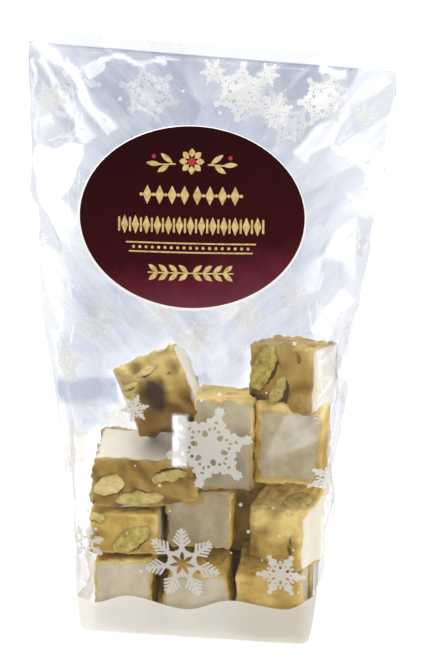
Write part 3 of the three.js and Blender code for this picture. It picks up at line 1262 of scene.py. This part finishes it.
def nut_distance(points, nut):
    """Distance in millimetres from a nut's surface, negative inside it, and how far round
    towards its dark side each point is, from -1 to 1."""
    place, radii, turn = nut[:3]
    local = (points - np.array(place)) @ turn_matrix(*turn)
    reach = np.linalg.norm(local / np.array(radii), axis=1)
    slope = np.linalg.norm(local / np.array(radii) ** 2, axis=1)
    return reach * (reach - 1) / np.maximum(slope, 1e-4), -local[:, 2] / np.linalg.norm(local, axis=1)


def random_nuts(size, count, seed):
    """Almond-sized nuts drawn near the faces of a block: place, radii, turn, tone, dark side."""
    draw = random.Random(seed)
    nuts = []
    for _ in range(count):
        place = [draw.uniform(-0.42, 0.42) * side for side in size]
        axis = draw.randrange(3)
        place[axis] = draw.choice((-0.5, 0.5)) * size[axis] + draw.uniform(-1.5, 1.5)
        radii = (draw.uniform(6, 9.5), draw.uniform(3, 4.6), draw.uniform(2.6, 4.2))
        turn = [draw.uniform(0, 180) for _ in range(3)]
        nuts.append((place, radii, turn, draw.random(), draw.uniform(0.3, 1.6)))
    return nuts


FRONT_UNIT = unit_block(cuts=37)
BACK_UNIT = unit_block(cuts=25)
AXES = {"x": 0, "y": 1, "z": 2}


def rounded_block(unit_points, half, radius):
    """Points of the sharp block, the same points with its edges rounded, and the ways outward."""
    body = unit_points * half
    inner = np.clip(body, radius - half, half - radius)
    corner = body - inner
    length = np.linalg.norm(corner, axis=1, keepdims=True)
    outward = corner / np.maximum(length, 1e-6)
    return body, inner + outward * radius, outward


def nut_looks(points, nuts, seed):
    """How far each point is from the nearest nut, how creamy that nut is and how thick its skin."""
    measured = [nut_distance(points, nut) for nut in nuts]
    distances = np.stack([entry[0] for entry in measured])
    distances += 0.45 * wavy(points, 5.5, seed + 31) + 0.25 * wavy(points, 2.6, seed + 37)
    nearest = distances.argmin(axis=0)
    everyone = np.arange(len(points))
    distance = np.clip(distances[nearest, everyone], -4, 4)
    towards = np.stack([entry[1] for entry in measured])[nearest, everyone]
    tone = np.array([nut[3] for nut in nuts])[nearest]
    dark_side = np.array([nut[4] for nut in nuts])[nearest]
    return distance, tone, 0.12 + dark_side * np.clip(towards, 0, 1) ** 1.5


def wafer_cover(body, points, half, axis, on_wafer, margin, seed):
    """1 where wafer covers a face and 0 where the nougat is bare, with a ragged edge between."""
    others = [a for a in range(3) if a != axis]
    edge_distance = np.min(half[others] - np.abs(body[:, others]), axis=1)
    ragged = 0.5 * wavy(points, 7, seed + 50)
    return np.where(on_wafer, np.clip((edge_distance - margin + ragged) / 0.5, 0, 1), 0.0)


def broken_relief(points, seed):
    """Ridges and hollows of a torn face, about -1 to 1."""
    return 1 - 2 * np.abs(wavy(points, 13, seed + 61)) + 0.5 * wavy(points, 6, seed + 67)


def surface_push(points, nut, skin, bare, broken, crags, seed):
    """How far the surface stands out: broad waves, and where it is bare also crumbs, a groove
    round each nut, the nut itself and the torn relief."""
    crumbs = 0.3 * wavy(points, 4.5, seed + 9) + 0.18 * wavy(points, 2.1, seed + 23)
    groove = -0.7 * np.exp(-((nut - skin / 2) / 0.6) ** 2)
    push = 0.55 * wavy(points, 17, seed) + bare * crumbs
    push += bare * (groove + 0.45 * (nut < -0.5) + crags * (broken - 0.5))
    return push


def face_belly(unit_points, axis, on_wafer):
    """The soft swell of each face, least under the wafer."""
    swell = np.prod([1 - unit_points[:, a] ** 2 * (a != axis) for a in range(3)], axis=0)
    return np.where(on_wafer, 0.2, 0.9) * swell


def face_tones(points, unit_points, height, broken, crags, shade_low, shade_all, painted_top_light, seed):
    """How much painted light each point gets, most at edges and near the top, and how much painted
    shade, most in hollows and low down, besides random darker patches. height is the point's
    place, from -1 at the foot to 1 at the top."""
    nearness = np.sort(np.abs(unit_points), axis=1)[:, 1]
    painted_light = 0.6 * ramp(0.8, 0.98, nearness) * (0.6 + 0.4 * wavy(points, 9, seed + 83))
    painted_light += painted_top_light * ramp(-0.1, 0.9, height + 0.3 * wavy(points, 12, seed + 89))
    shade = np.clip(0.35 * wavy(points, 11, seed + 71), 0, 1) + crags * 0.35 * np.clip(0.4 - broken, 0, 1)
    shade += shade_all + shade_low * np.clip(0.3 - height, 0, 1)
    return np.clip(painted_light, 0, 0.9), np.clip(shade, 0, 1)


def stain_cover(points, stains, softness, seed):
    """How deep the dark stains are at each point. A stain is its centre, radii, roll and strength."""
    cover = np.zeros(len(points))
    for centre, radii, roll, strength in stains:
        distance = nut_distance(points, (centre, radii, (0, 0, roll)))[0]
        distance += 0.8 * wavy(points, 6, seed + 77)
        cover = np.maximum(cover, strength * np.clip(0.5 - distance / softness, 0, 1))
    return cover


def slant(points, half, rise, tilt, foot_rise, taper):
    """Slants the top and the foot of a block and widens its foot."""
    unit = points / half
    points[:, 2] += (unit[:, 2] + 1) / 2 * (rise * unit[:, 1] + tilt * unit[:, 0])
    points[:, 2] += foot_rise * (1 - unit[:, 2]) / 2 * np.maximum(unit[:, 0], 0)
    points[:, 0] *= 1 - taper / half[0] * unit[:, 2]
    return points


def make_block(name, size, place, turn=(0, 0, 0), wafer="y", rise=0.0, tilt=0.0, foot_rise=0.0, taper=0.0,
               radius=1.8, wafer_margin=0.9, crags=0.0, nuts=None, nut_count=5, stains=(), softness=1.8,
               shade_low=0.0, shade_all=0.0, painted_top_light=0.0, wafer_white_and_painted_light=0.15, seed=1, unit=FRONT_UNIT):
    """A cut piece of nougat. rise lifts its back, tilt its right side, foot_rise the right end
    of its foot, and taper widens its foot, in millimetres at the edge. Wafer covers the two
    faces across the named axis. crags is the height of its torn relief, softness the reach of
    the edge of its stains, shade_low and shade_all how much painted shade darkens its lower half
    and all of it, then how much painted light lightens its top, and how white its wafer is,
    partly its own tone and partly painted light."""
    unit_points, unit_faces = unit
    half = np.array(size) / 2
    axis = AXES[wafer]
    on_wafer = np.abs(unit_points[:, axis]) > 0.999
    body, points, outward = rounded_block(unit_points, half, radius)
    if nuts is None:
        nuts = random_nuts(size, nut_count, seed)
    nut, tone, skin = nut_looks(points, nuts, seed)
    cover = wafer_cover(body, points, half, axis, on_wafer, wafer_margin, seed)
    broken = broken_relief(points, seed)
    push = surface_push(points, nut, skin, 1 - cover, broken, crags, seed)
    points = points + outward * (push + face_belly(unit_points, axis, on_wafer))[:, None]
    points[:, axis] += np.sign(unit_points[:, axis]) * cover * 0.12
    height = 2 * points[:, 2] / size[2]
    painted_light, shade = face_tones(
        points, unit_points, height, broken, crags, shade_low, shade_all, painted_top_light, seed
    )
    stain = stain_cover(points, stains, softness, seed)
    points = slant(points, half, rise, tilt, foot_rise, taper)
    placed = points @ turn_matrix(*turn).T + np.array(place)
    piece = make_piece(name, placed, unit_faces, MATERIALS["nougat"])
    store_values(piece, {
        "nut": nut,
        "nut_tone": tone,
        "skin": skin,
        "wafer": cover,
        "stain": stain,
        "shade": shade,
        "painted_light": painted_light,
        "wafer_white_and_painted_light": np.full(len(points), wafer_white_and_painted_light),
    })
    return piece


def make_bottom_row():
    """The lowest pieces that show through the front. A nut is its place and radii in the piece,
    its turn, how creamy its flesh is and how thick its dark side."""
    make_block(
        "nougat_low_left", (25.8, 25, 35), (-31.8, -14.2, 19.1), (-1, 0, 0),
        rise=1.5, tilt=1.5, wafer_white_and_painted_light=0.25, seed=3,
    )
    make_block(
        "nougat_low_middle", (31.2, 25.6, 33.0), (0.9, -13.8, 17.8), (1, 0, 0),
        rise=4.2, tilt=0.3, taper=2.6, radius=3.8, nut_count=3, wafer_white_and_painted_light=0.25, seed=5,
    )
    make_block(
        "nougat_low_right", (30.5, 26, 33.5), (33.0, -14.0, 18.0), wafer="x",
        rise=3.0, tilt=0.8, taper=0.8, seed=8,
        nuts=[
            ((9, 10, 17), (7, 4, 3.5), (30, 0, 10), 0.4, 0.6),
            ((-12, 2, -4), (6, 4, 3), (70, 20, 0), 0.6, 0.4),
        ],
    )


def make_second_row():
    make_block(
        "nougat_second_left", (30.5, 26, 20.5), (-31.8, -14.0, 48.4), (0.5, 0, 0), wafer="x",
        rise=1.0, shade_low=0.25, seed=13,
        nuts=[
            ((3.4, -12.5, -2.4), (10.0, 4.6, 4.9), (0, 0, -40), 0.1, 0.9),
            ((-13, -12, 8), (5, 3, 3), (0, 0, 20), 0.5, 0.6),
        ],
    )
    make_block(
        "nougat_second_middle", (28.6, 20, 27.5), (0.8, -9.4, 54.0), (-1, 0, 0),
        tilt=0.8, shade_all=0.17, wafer_white_and_painted_light=0.0, seed=21,
        stains=[((-2.6, -10, 8.8), (5.0, 4, 2.8), 0, 0.9)],
    )
    make_block(
        "nougat_second_right", (28.4, 18.6, 30), (38.7, -11.8, 49.4), (-31, 0, 0), wafer="x",
        rise=5.0, painted_top_light=1.2, wafer_white_and_painted_light=0.9, seed=34,
        nuts=[((6.0, -0.5, 14.2), (7.2, 4.4, 3.0), (12, 0, 0), 0.55, 0.9)],
        stains=[((8.6, -8.8, -1.4), (0.9, 2.5, 6.0), 5, 1.0)],
    )


def make_third_row():
    make_block(
        "nougat_third_left", (46, 25, 25.5), (-23.4, -14.0, 73.0), wafer="z",
        rise=2.4, tilt=0.4, foot_rise=6.0, taper=1.2, crags=0.55, shade_all=0.5, wafer_white_and_painted_light=0.9, seed=55,
        nuts=[
            ((-1.5, -12.6, -8.2), (10.5, 4.4, 3.9), (0, 0, 176), 0.35, 0.8),
            ((11.5, -12.6, 4.0), (8.6, 4.4, 3.3), (0, 0, 170), 0.3, 1.4),
            ((-15.0, -12.4, -1.8), (7.2, 4.6, 5.2), (0, 0, -35), 1.0, 0.6),
            ((-21.5, -9, -8), (3.4, 4, 4.4), (0, 0, 10), 0.2, 0.8),
        ],
    )
    make_block(
        "nougat_third_middle", (25.6, 22, 41), (11.0, -13.8, 91.4),
        rise=-1.0, shade_low=0.75, painted_top_light=0.3, wafer_white_and_painted_light=0.1, seed=89,
    )
    make_block(
        "nougat_third_right", (31.2, 20.6, 36.8), (39.6, -11.3, 92.0), (-2, 0, 0),
        radius=3.0, wafer_margin=3.2, shade_low=0.1, painted_top_light=0.5, wafer_white_and_painted_light=0.0, seed=144,
        nuts=[((-4, 7, 18), (7, 4, 3.2), (30, 0, 0), 0.4, 0.6)],
    )


def make_top_row():
    make_block(
        "nougat_top_left", (28.6, 24, 32.5), (-17.9, -10.0, 109.9), (-6, -20, -28), wafer="x",
        crags=0.8, softness=3.2, shade_low=0.9, painted_top_light=0.7, wafer_white_and_painted_light=0.9, seed=233,
        nuts=[
            ((-1.0, -11.5, 9.4), (6.6, 2.6, 1.7), (0, 0, -4), 0.95, 0.7),
            ((-9.5, -11.7, 6.0), (4.6, 2.6, 1.5), (0, 0, 4), 0.8, 0.9),
            ((-10.2, -11.1, 0.5), (2.9, 2.4, 3.4), (0, 0, 30), 0.35, 1.0),
        ],
        stains=[((-1.0, -11.5, -1.3), (5.4, 4, 7.8), 4, 1.0)],
    )
    make_block(
        "nougat_top_right", (31.2, 23, 28.6), (39.4, -9.8, 121.5), (-26, 0, 0), wafer="x",
        rise=-1.5, tilt=1.5, crags=0.3, shade_low=0.25, shade_all=0.34, painted_top_light=0.25, wafer_white_and_painted_light=0.8, seed=377,
        nuts=[
            ((-8.4, -11.6, 3.6), (12.0, 4.4, 5.0), (0, 0, -68), 0.05, 1.4),
            ((-1.4, -11.5, -6.4), (9.0, 4.0, 2.9), (0, 0, -62), 0.2, 3.0),
            ((8.6, -12.1, 9.6), (1.0, 1.0, 1.6), (0, 0, 0), 0.0, 0.6),
        ],
        stains=[
            ((8.6, -11.5, 9.6), (0.9, 1, 1.7), 0, 0.8),
            ((-11.0, -11.5, -10.5), (4.0, 3, 3.0), 0, 0.75),
        ],
    )


# Columns of the second layer: place across, width, and the heights of its pieces from the foot up
BACK_COLUMNS = [
    (-36.5, 21.0, (30, 31, 18)),
    (-11.0, 28.5, (31, 30, 26)),
    (17.0, 26.0, (28, 32, 40)),
    (39.8, 19.5, (32, 30, 34)),
]
BACK_LAYER_Y = 12.4


def make_back_blocks():
    """The second layer, behind the first, seen from the sides, the back and through the gaps."""
    draw = random.Random(17)
    number = 0
    for x, width, heights in BACK_COLUMNS:
        level = 1.8
        for row, height in enumerate(heights):
            number += 1
            size = (
                width - draw.uniform(0, 1.2),
                draw.uniform(22, 23.5) - row,
                height - draw.uniform(0.3, 1.0),
            )
            place = (x + draw.uniform(-0.6, 0.6), BACK_LAYER_Y - row * 0.8, level + size[2] / 2)
            turn = (draw.uniform(-2.5, 2.5), draw.uniform(-1, 1), draw.uniform(-1, 1))
            # The second layer gets a little painted shade all over, for the gaps it shows through
            make_block(
                f"nougat_back_{number:02d}", size, place, turn, wafer=draw.choice("xz"),
                rise=draw.uniform(-0.5, 0.5), shade_all=0.15, seed=500 + number * 7, unit=BACK_UNIT,
            )
            level += height


# Stage, light and camera

CAMERA_AIM = (3.39, 0.0, 133.28)
CAMERA_DISTANCE = 1000.0
CAMERA_ELEVATION = math.radians(19)
CAMERA_AZIMUTH = math.radians(6)
CAMERA_ROLL = math.radians(1.1)
CAMERA_LENS = 123.25


def make_camera():
    back = Vector((
        math.sin(CAMERA_AZIMUTH) * math.cos(CAMERA_ELEVATION),
        -math.cos(CAMERA_AZIMUTH) * math.cos(CAMERA_ELEVATION),
        math.sin(CAMERA_ELEVATION),
    ))
    right = Vector((math.cos(CAMERA_AZIMUTH), math.sin(CAMERA_AZIMUTH), 0))
    up = back.cross(right)
    rolled_right = right * math.cos(CAMERA_ROLL) + up * math.sin(CAMERA_ROLL)
    rolled_up = up * math.cos(CAMERA_ROLL) - right * math.sin(CAMERA_ROLL)
    place = (Vector(CAMERA_AIM) + back * CAMERA_DISTANCE) * MM
    data = bpy.data.cameras.new("camera")
    data.lens = CAMERA_LENS
    data.sensor_width = 36
    data.clip_start = 0.01
    camera = bpy.data.objects.new("camera", data)
    turn = Matrix((rolled_right, rolled_up, back)).transposed().to_4x4()
    camera.matrix_world = Matrix.Translation(place) @ turn
    bpy.context.scene.collection.objects.link(camera)
    bpy.context.scene.camera = camera


def make_light(name, place, target, size, power, colour=(1, 1, 1)):
    data = bpy.data.lights.new(name, "AREA")
    data.shape = "RECTANGLE"
    data.size, data.size_y = size
    data.energy = power
    data.color = colour
    light = bpy.data.objects.new(name, data)
    light.location = place
    light.rotation_euler = (Vector(target) - Vector(place)).to_track_quat("-Z", "Y").to_euler()
    bpy.context.scene.collection.objects.link(light)


FLOOR_RADIUS = 6.0
FLOOR_SIDES = 64


def make_floor():
    """A floor that glows white, so that the bag's shadow on it stays faint."""
    material, _, principled = new_material("floor_white")
    set_inputs(principled, {
        "Base Color": (0.1, 0.1, 0.1, 1),
        "Roughness": 0.9,
        "Emission Color": (1, 1, 1, 1),
        "Emission Strength": 0.97,
    })
    mesh = bpy.data.meshes.new("floor")
    turns = np.linspace(0, 2 * math.pi, FLOOR_SIDES, endpoint=False)
    rim = [(FLOOR_RADIUS * math.cos(t), FLOOR_RADIUS * math.sin(t), 0) for t in turns]
    mesh.from_pydata(rim, [], [tuple(range(FLOOR_SIDES))])
    mesh.materials.append(material)
    floor = bpy.data.objects.new("floor", mesh)
    bpy.context.scene.collection.objects.link(floor)


def make_surround():
    """A surround that the camera sees white, and that lights the bag less from the front."""
    world = bpy.data.worlds.new("surround")
    world.use_nodes = True
    bpy.context.scene.world = world
    tree = world.node_tree
    shown = tree.nodes["Background"]
    set_inputs(shown, {"Color": (1, 1, 1, 1), "Strength": 1.05})
    ambient = add_node(tree, "ShaderNodeBackground", Color=(0.97, 0.98, 1, 1))
    span = tree.nodes.new("ShaderNodeMapRange")
    set_inputs(span, {"From Min": -0.9, "From Max": 0.3, "To Min": 0.4, "To Max": 0.85})
    tree.links.new(place_axes(tree, "Generated")["Y"], span.inputs["Value"])
    tree.links.new(span.outputs[0], ambient.inputs["Strength"])
    path = tree.nodes.new("ShaderNodeLightPath")
    mixed = mix_shaders(tree, path.outputs["Is Camera Ray"], ambient, shown)
    tree.links.new(mixed.outputs[0], tree.nodes["World Output"].inputs["Surface"])
    bpy.context.scene.view_settings.view_transform = "Standard"


def make_lights():
    """Large soft lights all round, the strongest from above."""
    middle = (0, 0, 0.12)
    make_light("top_softbox", (-0.1, 0.1, 1.15), middle, (0.8, 0.8), 15.0)
    make_light("left_strip", (-0.9, -0.35, 0.35), middle, (0.22, 0.9), 3.2)
    make_light("right_strip", (0.9, -0.4, 0.45), middle, (0.3, 0.9), 4.0)
    make_light("front_softbox", (0.2, -1.2, 0.55), middle, (0.9, 0.5), 1.0)
    make_light("back_softbox", (0.0, 0.9, 0.65), middle, (0.9, 0.4), 4.0)


make_film()
make_seal()
make_back_seam()
make_snow()
make_flakes("snowflakes_front", "flake", back=False)
make_flakes("snowflakes_back", "flake_back_painted_lighter", back=True)
make_dots("snow_dots_front", "flake", back=False)
make_dots("snow_dots_back", "flake_back_painted_lighter", back=True)
make_label()
make_ornament()
make_bottom_row()
make_second_row()
make_third_row()
make_top_row()
make_back_blocks()
make_floor()
make_surround()
make_lights()
make_camera()
